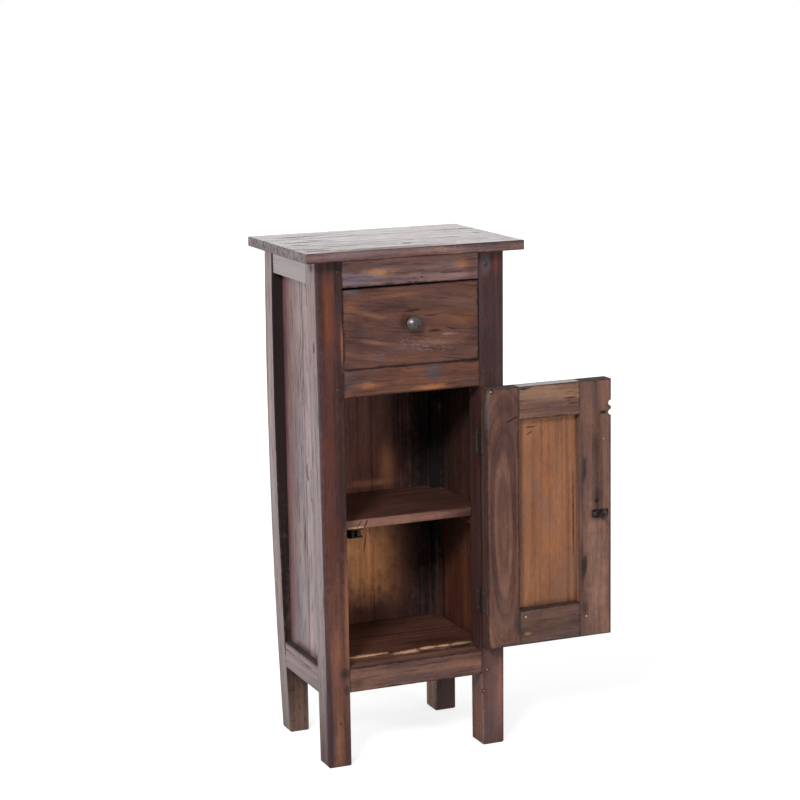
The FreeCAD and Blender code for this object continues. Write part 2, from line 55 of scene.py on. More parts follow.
class Finish:
    """One surface finish, built up node by node."""

    def __init__(self, name, tree=None):
        if tree is None:
            self.material = bpy.data.materials.new(name)
            self.material.use_nodes = True
            tree = self.material.node_tree
        self.tree = tree
        self.tree.nodes.clear()
        self.place = self.put("ShaderNodeTexCoord", {}).outputs["Object"]

    def put(self, kind, inputs, **settings):
        """Adds a node whose inputs are plain values or other nodes' sockets."""
        node = self.tree.nodes.new(kind)
        for key, value in settings.items():
            setattr(node, key, value)
        for key, value in inputs.items():
            if isinstance(value, bpy.types.NodeSocket):
                self.tree.links.new(value, node.inputs[key])
            else:
                node.inputs[key].default_value = value
        return node

    def math(self, operation, *values):
        return self.put("ShaderNodeMath", dict(enumerate(values)), operation=operation).outputs[0]

    def times(self, value, factor):
        return self.math("MULTIPLY", value, factor)

    def vector(self, operation, *values):
        node = self.put("ShaderNodeVectorMath", dict(enumerate(values)), operation=operation)
        return node.outputs["Value" if operation == "LENGTH" else "Vector"]

    def noise(self, where, scale, detail=2.0, roughness=0.5):
        inputs = {"Vector": where, "Scale": scale, "Detail": detail, "Roughness": roughness}
        return self.put("ShaderNodeTexNoise", inputs).outputs

    def drawn_out(self, where, share):
        """The place in a pattern that is drawn out along Z: only a share of that distance counts."""
        return self.vector("MULTIPLY", where, (1, 1, share))

    def fade(self, value, low, high):
        """0 where the value is at low, 1 where it is at high, smooth between them."""
        inputs = {"Value": value, "From Min": low, "From Max": high}
        return self.put("ShaderNodeMapRange", inputs, interpolation_type="SMOOTHSTEP").outputs["Result"]

    def mix(self, share, first, second):
        node = self.put("ShaderNodeMix", {0: share, 6: first, 7: second}, data_type="RGBA")
        return node.outputs[2]

    def ramp(self, value, stops):
        node = self.put("ShaderNodeValToRGB", {"Fac": value})
        while len(node.color_ramp.elements) < len(stops):
            node.color_ramp.elements.new(0.5)
        for element, (position, colour) in zip(node.color_ramp.elements, stops):
            element.position = position
            element.color = colour
        return node.outputs["Color"]

    def surface(self, colour, roughness, height, depth, wax=0.0, metallic=0.0):
        """Ends the finish with its shader. Height is raised from the surface by up to depth."""
        bump = self.put("ShaderNodeBump", {"Height": height, "Distance": depth, "Strength": 1.0})
        inputs = {"Base Color": colour, "Roughness": roughness, "Normal": bump.outputs["Normal"]}
        inputs.update({"Coat Weight": wax, "Coat Roughness": wax_roughness, "Metallic": metallic})
        inputs["Coat Normal"] = bump.outputs["Normal"]
        shader = self.put("ShaderNodeBsdfPrincipled", inputs)
        self.put("ShaderNodeOutputMaterial", {"Surface": shader.outputs["BSDF"]})
        return self.material


def mark(spot, radii, colour, amount=0.8, sunk=0.0, turned=(0, 0, 0)):
    """A stain, crack or rubbed place, or painted light or shade: where it is, how far it reaches along X,
    Y and Z, and its look.
    One that covers more than waxed_share of the wood has lost the wax."""
    return Vector(spot), Vector(radii), tint(*colour), amount, sunk, turned


waxed_share = 0.6
dark = (30, 22, 23)
pore_colour = (34, 25, 26)
fleck_colour = (176, 156, 152)
next_board = Vector((3.1, 1.7, 2.3))
ring_sway = 0.03
arris_sway = 0.007
grime_reach = 0.0032
end_grain_reach = 0.0016
edge_reach = 0.0004
pore_depth = 1.8
grain_relief = 0.0008


def timber(node, along, tones, seed, pith=(0.02, 0.07), tilt=(1.2, 1.8), bow=0.0, slant=0.0, ring=0.011,
           figure=0.7, streaks=0.36, wander=1.0, dashes=0.45, flecks=None, polish=0.42, wax=0.0,
           rubbed=0.45, warm=None, cool=None, grime=0.6, ends=((46, 38, 37), (86, 74, 70)), seen=None,
           marks=()):
    """Solid timber: growth rings round a pith beside the board, fibres and pores along the grain, warm and
    cool patches of stain, grime in the arrises, and marks that are placed one by one."""
    finish = Finish(node + "_timber")
    low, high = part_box(node)
    for axis, (start, end) in (seen or {}).items():
        low["xyz".index(axis)] = start
        high["xyz".index(axis)] = end
    from_centre = finish.vector("SUBTRACT", finish.place, (low + high) / 2)
    turn = {"x": (0, math.radians(slant - 90), 0), "y": (math.pi / 2, 0, 0), "z": (0, 0, 0)}[along]
    grain = finish.put("ShaderNodeMapping", {"Vector": from_centre, "Rotation": turn}).outputs[0]
    shifted = finish.vector("ADD", grain, next_board * seed)

    # Growth rings, which sway along the board
    lean = [math.radians(angle) for angle in tilt]
    inputs = {"Vector": grain, "Location": (*pith, 0), "Rotation": (*lean, 0)}
    about_pith = finish.put("ShaderNodeMapping", inputs).outputs[0]
    sway = finish.noise(finish.drawn_out(shifted, 0.16), 12.0)["Color"]
    sway = finish.vector("SUBTRACT", sway, (0.5, 0.5, 0.5))
    sway = finish.vector("MULTIPLY", sway, (ring_sway * wander, ring_sway * wander, 0))
    about_pith = finish.vector("ADD", about_pith, sway)
    if bow:
        along_grain = finish.put("ShaderNodeSeparateXYZ", {"Vector": grain}).outputs[2]
        rise = finish.times(finish.times(along_grain, along_grain), bow)
        bend = finish.put("ShaderNodeCombineXYZ", {"Y": rise}).outputs[0]
        about_pith = finish.vector("ADD", about_pith, bend)
    radius = finish.vector("LENGTH", finish.vector("MULTIPLY", about_pith, (1, 1, 0)))
    count = finish.math("DIVIDE", radius, ring)
    inputs = {"W": finish.math("ADD", count, seed * 7.0), "Scale": 1.0, "Detail": 2.5, "Roughness": 0.55}
    rings = finish.put("ShaderNodeTexNoise", inputs, noise_dimensions="1D").outputs["Fac"]

    # Fibres, streaks, grit and open pores, and slow clouds over them
    fibre = finish.noise(finish.drawn_out(shifted, 0.03 * wander), 520.0, 3.0, 0.6)["Fac"]
    streak = finish.noise(finish.drawn_out(shifted, 0.045 * wander), 210.0, 3.0, 0.6)["Fac"]
    grit = finish.noise(finish.drawn_out(shifted, 0.3), 430.0, 1.0)["Fac"]
    pores = finish.noise(finish.drawn_out(shifted, 0.07), 300.0)["Fac"]
    pores = finish.fade(pores, 0.59, 0.70)
    cloud = finish.noise(finish.drawn_out(shifted, 0.4), 22.0, 4.0, 0.6)["Fac"]
    tone = finish.math("MULTIPLY_ADD", rings, figure, 0.06 - (figure + streaks) / 2)
    for part, weight in ((grit, 0.20), (fibre, 0.24), (streak, streaks), (cloud, 0.44)):
        tone = finish.math("MULTIPLY_ADD", part, weight, tone)

    # Colour of the wood, then patches of stain and pale flecks
    darker, middling, lighter = (tint(*shade) for shade in tones)
    colour = finish.ramp(tone, [(0.28, darker), (0.50, middling), (0.72, lighter)])
    colour = finish.mix(finish.times(pores, dashes), colour, tint(*pore_colour))
    for offset, patch in ((0.0, warm), (5.7, cool)):
        if patch:
            spread = finish.vector("ADD", finish.drawn_out(shifted, 0.33), (offset, 0, offset))
            patches = finish.noise(spread, 26.0, 4.0, 0.62)["Fac"]
            share = finish.times(finish.fade(patches, 0.48, 0.68), patch[1])
            colour = finish.mix(share, colour, tint(*patch[0]))
    if flecks:
        middle, reach = flecks
        away = finish.vector("DIVIDE", finish.vector("SUBTRACT", finish.place, middle), reach)
        near = finish.fade(finish.vector("LENGTH", away), 1.2, 0.3)
        near = finish.times(near, finish.fade(cloud, 0.40, 0.62))
        near = finish.times(near, 0.45)
        specks = finish.noise(finish.drawn_out(shifted, 0.5), 430.0)["Fac"]
        share = finish.times(finish.fade(specks, 0.54, 0.70), near)
        colour = finish.mix(share, colour, tint(*fleck_colour))

    # Grime along the arrises, and sawn end grain
    inward = finish.vector("SUBTRACT", (high - low) / 2, finish.vector("ABSOLUTE", from_centre))
    split = finish.put("ShaderNodeSeparateXYZ", {"Vector": inward}).outputs
    nearer = finish.math("MINIMUM", split[0], split[1])
    farther = finish.math("MAXIMUM", split[0], split[1])
    arris = finish.math("MAXIMUM", nearer, finish.math("MINIMUM", farther, split[2]))
    ragged = finish.noise(shifted, 75.0, 4.0, 0.65)["Fac"]
    arris = finish.math("MULTIPLY_ADD", finish.math("SUBTRACT", ragged, 0.5), arris_sway, arris)
    share = finish.times(finish.fade(arris, grime_reach, edge_reach), grime)
    colour = finish.mix(share, colour, tint(*dark))
    end_grain = finish.fade(split["xyz".index(along)], end_grain_reach, edge_reach)
    saw_lines = finish.noise(finish.drawn_out(finish.place, 0.5), 290.0, 4.0, 0.7)["Fac"]
    end_colour = finish.mix(finish.fade(saw_lines, 0.38, 0.60), tint(*ends[0]), tint(*ends[1]))
    colour = finish.mix(finish.times(end_grain, 0.8), colour, end_colour)

    # Relief of the grain, and the marks: soft stains and painted light and shade, or crisp cracks and
    # holes where they are sunk
    height = finish.math("MULTIPLY_ADD", fibre, 0.5, finish.times(rings, 0.4))
    height = finish.math("MULTIPLY_ADD", pores, -pore_depth * dashes, height)
    feather = finish.times(finish.math("ADD", streak, ragged), 0.5)
    feather = finish.math("SUBTRACT", feather, 0.5)
    bare = finish.math("MAXIMUM", end_grain, finish.times(pores, dashes))
    for spot, radii, mark_colour, amount, sunk, turned in marks:
        away = finish.vector("SUBTRACT", finish.place, spot)
        if any(turned):
            turn = [math.radians(angle) for angle in turned]
            away = finish.put("ShaderNodeMapping", {"Vector": away, "Rotation": turn}).outputs[0]
        away = finish.vector("LENGTH", finish.vector("DIVIDE", away, radii))
        away = finish.math("MULTIPLY_ADD", feather, 2.2, away)
        rim, core = (1.0, 0.5) if sunk else (1.35, 0.1)
        share = finish.times(finish.fade(away, rim, core), amount)
        shades = [(*(part * lift for part in mark_colour[:3]), 1.0) for lift in (0.55, 1.3)]
        colour = finish.mix(share, colour, finish.ramp(tone, [(0.25, shades[0]), (0.75, shades[1])]))
        if amount > waxed_share:
            bare = finish.math("MAXIMUM", bare, share)
        if sunk:
            height = finish.math("MULTIPLY_ADD", share, -sunk, height)

    # Gloss, and wax in strokes where the wood isn't bare
    dull = finish.math("MULTIPLY_ADD", fibre, 0.20, finish.times(cloud, 0.20))
    roughness = finish.math("ADD", finish.math("MULTIPLY_ADD", bare, 0.6, dull), polish - 0.20)
    coat = 0.0
    if wax:
        strokes = finish.noise(finish.drawn_out(shifted, 0.06 * wander), 75.0, 3.0, 0.62)["Fac"]
        kept = finish.math("MULTIPLY_ADD", finish.fade(strokes, 0.38, 0.60), rubbed, 1.0 - rubbed)
        kept = finish.times(finish.math("SUBTRACT", 1.0, bare), kept)
        coat = finish.times(kept, wax)
    return finish.surface(colour, roughness, height, grain_relief, coat)


weld_reach = 0.00002
flat_angle = math.radians(1)
arris_angle = math.radians(35)


def dress(node, finish, radius):
    """Gives a piece its finish, and rounds its arrises as wear and wax do."""
    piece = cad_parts[node]
    piece.data.materials.clear()
    piece.data.materials.append(finish)
    piece.modifiers.new("joined", "WELD").merge_threshold = weld_reach
    flat = piece.modifiers.new("flat", "DECIMATE")
    flat.decimate_type = "DISSOLVE"
    flat.angle_limit = flat_angle
    round_over = piece.modifiers.new("round", "BEVEL")
    round_over.width = radius
    round_over.segments = 3
    round_over.limit_method = "ANGLE"
    round_over.angle_limit = arris_angle
    round_over.use_clamp_overlap = True
    piece.modifiers.new("shade", "WEIGHTED_NORMAL").keep_sharp = False


def wood(node, arris, *grain, **look):
    """Dresses a piece in timber of its own, with arrises of that radius."""
    dress(node, timber(node, *grain, **look), arris)


opening_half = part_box("post_front_right")[0].x
front_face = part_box("post_front_right")[0].y
front_post_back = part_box("post_front_left")[1].y
back_post_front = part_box("post_back_left")[0].y
back_post_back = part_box("post_back_right")[1].y
right_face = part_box("post_front_right")[1].x
post_arris = 0.0011
peg_radius = 0.0030
peg_places = [(-0.118, 0.767), (-0.121, 0.589), (0.123, 0.764), (0.118, 0.598)]
post_nail_places = [(0.1195, 0.123), (0.1145, 0.089)]
halo_radius = peg_radius * 1.5
halos = [
    mark((x, front_face, z), (halo_radius, 0.004, halo_radius), dark, 0.85)
    for x, z in peg_places + post_nail_places]
post_looks = {
    "post_front_left": dict(
        tones=((48, 31, 32), (80, 46, 39), (106, 62, 46)),
        warm=((112, 58, 36), 0.5),
        cool=((60, 44, 50), 0.6),
        marks=[
            mark((-0.134, front_face, 0.690), (0.010, 0.03, 0.085), (128, 64, 36), 0.55),
            mark((-0.130, front_face, 0.772), (0.030, 0.03, 0.016), (56, 40, 42), 0.6),
            mark((-0.135, front_face, 0.440), (0.009, 0.03, 0.22), (104, 56, 42), 0.5),
            mark((-0.128, front_face, 0.130), (0.028, 0.008, 0.19), (130, 89, 75), 0.6),
            mark((-0.1125, front_face, 0.655), (0.003, 0.004, 0.035), (168, 98, 58), 0.7),
            mark((-0.113, front_face, 0.250), (0.007, 0.008, 0.13), (148, 94, 64), 0.7),
            mark((-0.1485, -0.109, 0.098), (0.002, 0.0014, 0.0018), dark, 0.9, 1.0),
            mark((-0.1480, -0.109, 0.016), (0.002, 0.0024, 0.0040), dark, 0.8, 1.0),
            mark(
                (-0.1507, front_face, 0.390), (0.0024, 0.004, 0.900), (46, 31, 33), 0.8, 0.02,
                turned=(0, 0.4, 0)),
            mark((-0.153, front_face, 0.560), (0.006, 0.008, 0.30), (58, 42, 46), 0.6),
            mark((-0.1465, front_face, 0.080), (0.0085, 0.006, 0.150), (64, 46, 52), 0.85, 0.02),
            mark((-0.1150, front_face, 0.022), (0.0060, 0.010, 0.040), (74, 56, 60), 0.7),
            mark((-0.1165, front_face, 0.122), (0.0060, 0.010, 0.012), (60, 46, 48), 0.8),
            mark((-0.1280, front_face, 0.040), (0.0080, 0.010, 0.050), (170, 112, 76), 0.5),
            mark((-0.1300, front_face, 0.175), (0.0120, 0.010, 0.050), (150, 98, 72), 0.6),
            mark((-0.118, front_face, 0.148), (0.011, 0.01, 0.011), dark, 0.7),
            mark((-0.150, -0.098, 0.654), (0.008, 0.003, 0.009), dark, 0.9, 2.0),
            mark((-0.151, -0.095, 0.774), (0.008, 0.008, 0.008), (60, 50, 52), 0.8),
            # painted sheen: the lit left face of the post is painted pale mauve
            mark((-0.155, -0.085, 0.420), (0.010, 0.040, 0.800), (126, 96, 98), 0.6),
            *halos[:2],
        ]),
    "post_front_right": dict(
        tones=((41, 28, 31), (69, 44, 43), (93, 60, 53)),
        warm=((104, 56, 46), 0.5),
        cool=((60, 48, 54), 0.5),
        marks=[
            mark((0.124, front_face, 0.765), (0.010, 0.01, 0.020), (92, 84, 92), 0.7),
            mark((0.141, front_face, 0.763), (0.010, 0.01, 0.018), (118, 56, 44), 0.5),
            mark((0.113, front_face, 0.690), (0.004, 0.01, 0.090), (58, 50, 58), 0.7),
            mark((0.125, front_face, 0.630), (0.030, 0.01, 0.050), (58, 38, 41), 0.6),
            mark((0.132, front_face, 0.080), (0.028, 0.02, 0.100), (132, 96, 88), 0.6),
            mark((0.143, front_face, 0.085), (0.006, 0.01, 0.050), (150, 98, 76), 0.5),
            mark((0.122, front_face, 0.030), (0.020, 0.01, 0.040), (84, 66, 70), 0.7),
            mark((opening_half, -0.092, 0.050), (0.003, 0.060, 0.090), (140, 98, 84), 0.85),
            mark((right_face, -0.084, 0.420), (0.008, 0.040, 0.700), (98, 62, 54), 0.65),
            *halos[2:],
        ]),
    "post_back_left": dict(
        tones=((48, 35, 32), (92, 64, 56), (122, 90, 76)),
        warm=((104, 68, 52), 0.4),
        cool=((66, 54, 56), 0.5),
        marks=[
            mark((-0.128, back_post_front, 0.045), (0.040, 0.004, 0.090), (126, 92, 74), 0.6),
            mark((-0.146, 0.094, 0.028), (0.006, 0.040, 0.038), (84, 80, 84), 0.6),
            # painted sheen: the lit left face of the post is painted pale mauve
            mark((-0.155, 0.110, 0.420), (0.012, 0.040, 0.800), (128, 98, 100), 0.6),
            # painted shade: near black on the post's front side, in the recess beside the left boards
            mark((-0.140, back_post_front, 0.64), (0.10, 0.0035, 0.62), (38, 23, 23), 0.96, 0.01),
            mark((-0.130, back_post_back, 0.400), (0.045, 0.006, 0.700), (108, 70, 60), 0.65),
        ]),
    "post_back_right": dict(
        tones=((42, 30, 28), (80, 54, 46), (108, 76, 62)),
        warm=((100, 62, 46), 0.4),
        cool=((64, 52, 54), 0.5),
        marks=[
            # painted light: the shaded inner face of the leg is painted pale
            mark((opening_half, 0.094, 0.060), (0.003, 0.060, 0.090), (218, 172, 152), 0.85),
            # painted shade: near black in the back right corner of the cupboard
            mark((0.105, 0.070, 0.440), (0.04, 0.035, 0.30), (18, 13, 13), 0.95, 0.01),
            mark((0.130, back_post_back, 0.400), (0.045, 0.006, 0.700), (102, 66, 57), 0.65),
            mark((right_face, 0.090, 0.420), (0.008, 0.040, 0.700), (98, 62, 54), 0.65),
        ]),
}
for seed, (node, look) in enumerate(post_looks.items(), 1):
    wood(node, post_arris, "z", seed=seed, wander=0.4, wax=0.5, **look)


# Rails
# Nine lengths of the same timber between the posts, each with a stub tenon at both ends.
# Front rails are thick and set flush with the posts, side rails flush with their outer faces.
rail_arris = 0.0009
front_rail_looks = {
    "rail_front_top": dict(
        tones=((66, 50, 54), (113, 86, 86), (146, 112, 104)),
        warm=((142, 98, 80), 0.35),
        cool=((100, 88, 98), 0.9),
        marks=[
            mark((-0.050, front_face, 0.763), (0.030, 0.01, 0.006), (190, 134, 90), 0.75),
            mark((0.086, front_face, 0.767), (0.018, 0.01, 0.010), (166, 110, 72), 0.7),
            mark((-0.085, front_face, 0.754), (0.024, 0.01, 0.008), (96, 88, 100), 0.8),
            mark((0.100, front_face, 0.755), (0.014, 0.01, 0.030), (96, 58, 56), 0.6),
        ]),
    "rail_front_middle": dict(
        tones=((60, 39, 38), (93, 58, 47), (124, 80, 58)),
        warm=((136, 82, 54), 0.55),
        cool=((82, 70, 76), 0.5),
        marks=[
            mark((0.036, front_face, 0.608), (0.018, 0.01, 0.012), (84, 72, 76), 0.9),
            mark((0.032, front_face, 0.598), (0.013, 0.01, 0.007), (74, 64, 68), 0.9),
            mark((-0.074, front_face, 0.592), (0.028, 0.01, 0.006), (164, 102, 60), 0.7),
            mark((0.030, front_face, 0.582), (0.030, 0.01, 0.004), (168, 106, 66), 0.7),
            mark((0.085, front_face, 0.596), (0.024, 0.01, 0.014), (92, 62, 58), 0.6),
        ]),
    "rail_front_bottom": dict(
        tones=((70, 48, 44), (112, 79, 69), (140, 102, 84)),
        warm=((130, 90, 68), 0.5),
        cool=((84, 68, 68), 0.6),
        marks=[
            mark((0.080, front_face, 0.142), (0.032, 0.01, 0.007), (146, 102, 74), 0.6),
            mark((-0.098, front_face, 0.130), (0.012, 0.01, 0.012), (70, 52, 48), 0.7),
        ]),
}
between_posts = {"x": (-opening_half, opening_half)}
for seed, (node, look) in enumerate(front_rail_looks.items(), 5):
    wood(
        node, rail_arris, "x", seed=seed, pith=(0.03, 0.05), tilt=(2.0, 1.0), seen=between_posts,
        grime=0.75, **look)

rail_tones = ((58, 40, 41), (106, 75, 74), (134, 100, 98))
along_side = {"y": (front_post_back, back_post_front)}
smooth = dict(figure=0.15, streaks=0.10, wander=0.3, dashes=0.05, polish=0.32, wax=0.8, rubbed=0.08)
dry = dict(wax=0.25)
side_rail_looks = {
    "rail_left_top": smooth,
    "rail_left_bottom": dry,
    "rail_right_top": smooth,
    "rail_right_bottom": dry,
}
for seed, (node, look) in enumerate(side_rail_looks.items(), 8):
    low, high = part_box(node)
    ledge = (low.lerp(high, 0.5).x, 0, high.z)
    # darker along the top face of the rail
    dark_ledge = mark(ledge, (0.03, 0.30, 0.003), (42, 32, 32), 0.8)
    wood(
        node, rail_arris, "y", rail_tones, seed, seen=along_side, cool=((98, 80, 86), 0.5),
        marks=[dark_ledge], **look)
for seed, node in enumerate(("rail_back_top", "rail_back_bottom"), 12):
    wood(node, rail_arris, "x", rail_tones, seed, seen=between_posts, warm=((110, 72, 54), 0.4))


# Side and back panels
# Upright boards, lapped at their edges and loose in grooves of the posts and rails.
# The inner faces of the back boards have only a thin coat and show a warmer brown. Light and shade inside
# the cupboard are painted on the back boards and the right boards.
panel_arris = 0.0006
back_arris = 0.0002
skin = 0.0035
right_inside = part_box("side_board_right_front")[0].x
# painted light: a warm lit patch low at the front of the right wall inside
painted_lit_corner = mark((right_inside, 0.000, 0.220), (skin, 0.085, 0.120), (138, 80, 54), 0.30)
side_marks = {
    "side_board_left_front": [
        mark((-0.138, -0.016, 0.449), (0.01, 0.0022, 0.012), dark, 0.9, 2.0),
        mark((-0.138, -0.020, 0.438), (0.01, 0.004, 0.005), (70, 52, 48), 0.8),
        mark((-0.138, -0.005, 0.300), (0.01, 0.0016, 0.150), (48, 36, 36), 0.8),
        mark((-0.138, 0.010, 0.420), (0.01, 0.0020, 0.016), (50, 38, 38), 0.7),
    ],
    "side_board_left_back": [],
    "side_board_right_front": [
        # painted shade over the upper part of the right wall inside
        mark((right_inside, -0.020, 0.560), (skin, 0.140, 0.220), (34, 21, 20), 0.75),
        painted_lit_corner,
    ],
    "side_board_right_back": [
        # painted shade in the back right corner, over the rear right board
        mark((right_inside, 0.080, 0.530), (skin, 0.090, 0.270), (24, 16, 16), 0.85),
        painted_lit_corner,
    ],
}
# painted light and shade: the left boards show their lit outer side and are painted pale mauve, the right
# boards show their shaded inner side and are painted darker
painted_lit_boards = dict(tones=((66, 45, 47), (122, 88, 88), (150, 117, 116)), dashes=0.5)
painted_shaded_boards = dict(tones=((38, 21, 18), (86, 48, 34), (118, 68, 44)), dashes=0.25)
for seed, (node, marks) in enumerate(side_marks.items(), 14):
    look = painted_lit_boards if "left" in node else painted_shaded_boards
    wood(
        node, panel_arris, "z", seed=seed, pith=(0.09, 0.02), tilt=(0.4, 0.8), wander=0.25, wax=0.8,
        cool=((100, 78, 84), 0.5), grime=0.3, marks=marks, **look)
back_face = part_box("back_board_left")[0].y
back_marks = [
    # painted light: a golden pool low on the back, where light falls into the lower cupboard
    mark((0.005, back_face, 0.268), (0.074, skin, 0.078), (246, 172, 118), 0.95),
    mark((0.010, back_face, 0.168), (0.130, skin, 0.030), (78, 47, 37), 0.70),
    mark((0.042, back_face, 0.420), (0.016, skin, 0.040), (196, 132, 92), 0.75),
    mark((0.016, back_face, 0.392), (0.046, skin, 0.007), (190, 132, 96), 0.70),
    mark((-0.001, back_face, 0.290), (0.0012, skin, 0.022), dark, 0.8, 0.5, (0, -9, 0)),
    # painted shadow: near black over the right part of the back
    mark((0.112, back_face, 0.400), (0.058, skin, 0.500), (18, 13, 13), 0.95),
]
for seed, node in enumerate(("back_board_left", "back_board_right"), 18):
    wood(
        node, back_arris, "z", ((66, 40, 38), (110, 67, 60), (140, 92, 76)), seed, pith=(0.03, 0.08),
        tilt=(0.6, 0.9), wander=0.4, dashes=0.2, warm=((124, 76, 58), 0.5),
        cool=((76, 48, 48), 0.6), grime=0.0, marks=back_marks)


# Cupboard floor, shelf and cleats
# Two boards with the grain across, notched round the posts, lying on plain cleats between the posts.
# Their front edges are rubbed pale by use, and the floor's is chipped. The shelf's pale edge is also
# painted light, and stops where its shade begins.
board_arris = 0.0012
cleat_arris = 0.0006
floor_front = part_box("cupboard_floor")[0].y
floor_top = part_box("cupboard_floor")[1].z
bare_wood = (208, 162, 124)
floor_wear = [
    mark((-0.075, floor_front, floor_top), (0.045, 0.007, 0.0030), bare_wood, 0.95, 0.4),
    mark((-0.002, floor_front, floor_top - 0.003), (0.026, 0.005, 0.0036), bare_wood, 0.85, 0.5),
    mark((0.031, floor_front, floor_top - 0.001), (0.018, 0.006, 0.0026), bare_wood, 0.90, 0.5),
    mark((0.058, floor_front, floor_top - 0.001), (0.012, 0.005, 0.0020), bare_wood, 0.85, 0.5),
    mark((0.088, floor_front, floor_top - 0.001), (0.020, 0.005, 0.0020), bare_wood, 0.75, 0.5),
    mark((-0.030, floor_front, floor_top), (0.005, 0.006, 0.0024), dark, 0.85, 1.0),
    mark((0.040, floor_front, floor_top - 0.007), (0.030, 0.004, 0.0018), dark, 0.80, 1.0),
    mark((0.085, floor_front, floor_top - 0.006), (0.028, 0.004, 0.0030), dark, 0.80, 1.0),
    mark((-0.095, floor_front, floor_top - 0.013), (0.026, 0.004, 0.0034), dark, 0.70, 1.0),
    mark((-0.055, floor_front, floor_top - 0.009), (0.030, 0.004, 0.0012), dark, 0.70, 1.0),
]
wood(
    "cupboard_floor", board_arris, "x", ((50, 31, 28), (95, 60, 49), (130, 87, 66)), 20, tilt=(1.0, 2.0),
    figure=0.5, warm=((122, 76, 52), 0.5), marks=floor_wear)
shelf_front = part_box("shelf")[0].y
shelf_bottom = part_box("shelf")[0].z
cut_height = shelf_bottom + 0.006
shelf_wear_and_painted_light = [
    # rubbed pale, and also painted light: lit on the left, ending where the edge falls into shade
    mark((-0.045, shelf_front, shelf_bottom + 0.007), (0.120, 0.004, 0.02), (152, 110, 92), 0.6),
    mark((-0.084, shelf_front, shelf_bottom + 0.001), (0.014, 0.006, 0.003), (220, 172, 130), 0.95),
    mark((-0.067, shelf_front, cut_height), (0.0012, 0.01, 0.010), dark, 0.9, 1.0, (0, -30, 0)),
    mark((-0.078, shelf_front, cut_height), (0.0010, 0.01, 0.009), dark, 0.8, 1.0, (0, -35, 0)),
]
wood(
    "shelf", board_arris, "x", ((54, 35, 32), (94, 60, 53), (124, 84, 71)), 21, tilt=(1.0, 2.0),
    warm=((98, 62, 46), 0.4), grime=0.3, marks=shelf_wear_and_painted_light)
cleat_tones = ((40, 26, 20), (80, 54, 40), (112, 80, 58))
cleats = ("floor_cleat_left", "floor_cleat_right", "shelf_cleat_left", "shelf_cleat_right")
for seed, node in enumerate(cleats, 22):
    wood(node, cleat_arris, "y", cleat_tones, seed, polish=0.55)


# Drawer runners and kickers
# Rebated lengths of plain wood that carry and guide the drawer, and the pieces that keep it level.
# They are unfinished and dusty, as such hidden parts are.
sawn_arris = 0.0006
bare_tones = ((72, 52, 40), (116, 88, 66), (148, 116, 88))
hidden = ("drawer_runner_left", "drawer_runner_right", "drawer_kicker_left", "drawer_kicker_right")
for seed, node in enumerate(hidden, 26):
    wood(node, sawn_arris, "y", bare_tones, seed, polish=0.62)


# Top
# Three planks laid along the front, edge to edge, and pegged down to the rails.
# The waxed face is the smoothest of the whole table and mirrors the room at a low angle.
top_arris = 0.0014
top_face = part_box("top_plank_front")[1].z
top_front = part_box("top_plank_front")[0].y
front_crack = (44, 36, 37)
crack = (46, 38, 39)
peg_stain = (46, 38, 38)
# painted sheen: pale patches on the middle and back planks stand for the room's reflection in the top
painted_sheen = (176, 152, 150)
top_marks = {
    "top_plank_front": [
        mark((0.006, -0.085, top_face), (0.012, 0.006, 0.003), (48, 38, 38), 0.85, 0.2),
        mark((-0.140, -0.090, top_face), (0.030, 0.004, 0.003), front_crack, 0.85, 0.2),
        mark((-0.080, top_front, top_face - 0.006), (0.140, 0.003, 0.007), (130, 110, 114), 0.6),
        mark((0.120, top_front, top_face - 0.006), (0.080, 0.003, 0.008), (76, 74, 84), 0.6),
        mark((-0.050, top_front + 0.012, top_face), (0.120, 0.014, 0.003), (84, 60, 58), 0.7),
        mark((-0.150, -0.110, top_face), (0.028, 0.006, 0.003), front_crack, 0.85, 0.2),
        mark((-0.105, -0.070, top_face), (0.034, 0.003, 0.003), front_crack, 0.85, 0.2),
        mark((0.080, -0.060, top_face), (0.050, 0.002, 0.003), (60, 46, 46), 0.6),
    ],
    "top_plank_middle": [
        mark((0.153, -0.012, top_face), (0.008, 0.006, 0.003), peg_stain, 0.8),
        mark((-0.130, 0.000, top_face), (0.040, 0.005, 0.003), crack, 0.85, 0.2),
        mark((-0.150, -0.030, top_face), (0.025, 0.004, 0.003), crack, 0.85, 0.2),
        mark((-0.110, 0.018, top_face), (0.030, 0.003, 0.003), crack, 0.85, 0.2),
        # painted sheen on the middle of the top
        mark((0.030, 0.010, top_face), (0.120, 0.040, 0.003), painted_sheen, 0.5),
    ],
    "top_plank_back": [
        mark((0.156, 0.047, top_face), (0.008, 0.006, 0.003), peg_stain, 0.8),
        mark((-0.120, 0.070, top_face), (0.045, 0.005, 0.003), crack, 0.85, 0.2),
        # painted sheen on the back plank
        mark((0.040, 0.080, top_face), (0.120, 0.050, 0.003), painted_sheen, 0.5),
    ],
}
edge_flecks = ((0.080, top_front, top_face - 0.005), (0.110, 0.006, 0.008))
for seed, (node, marks) in enumerate(top_marks.items(), 30):
    wood(
        node, top_arris, "x", ((54, 36, 33), (110, 72, 64), (144, 106, 95)), seed, pith=(0.01, 0.06),
        tilt=(1.6, 0.6), polish=0.20, wax=1.0, warm=((120, 70, 54), 0.45), cool=((98, 80, 82), 0.4),
        flecks=edge_flecks, grime=0.8, ends=((80, 75, 77), (148, 140, 142)), marks=marks)


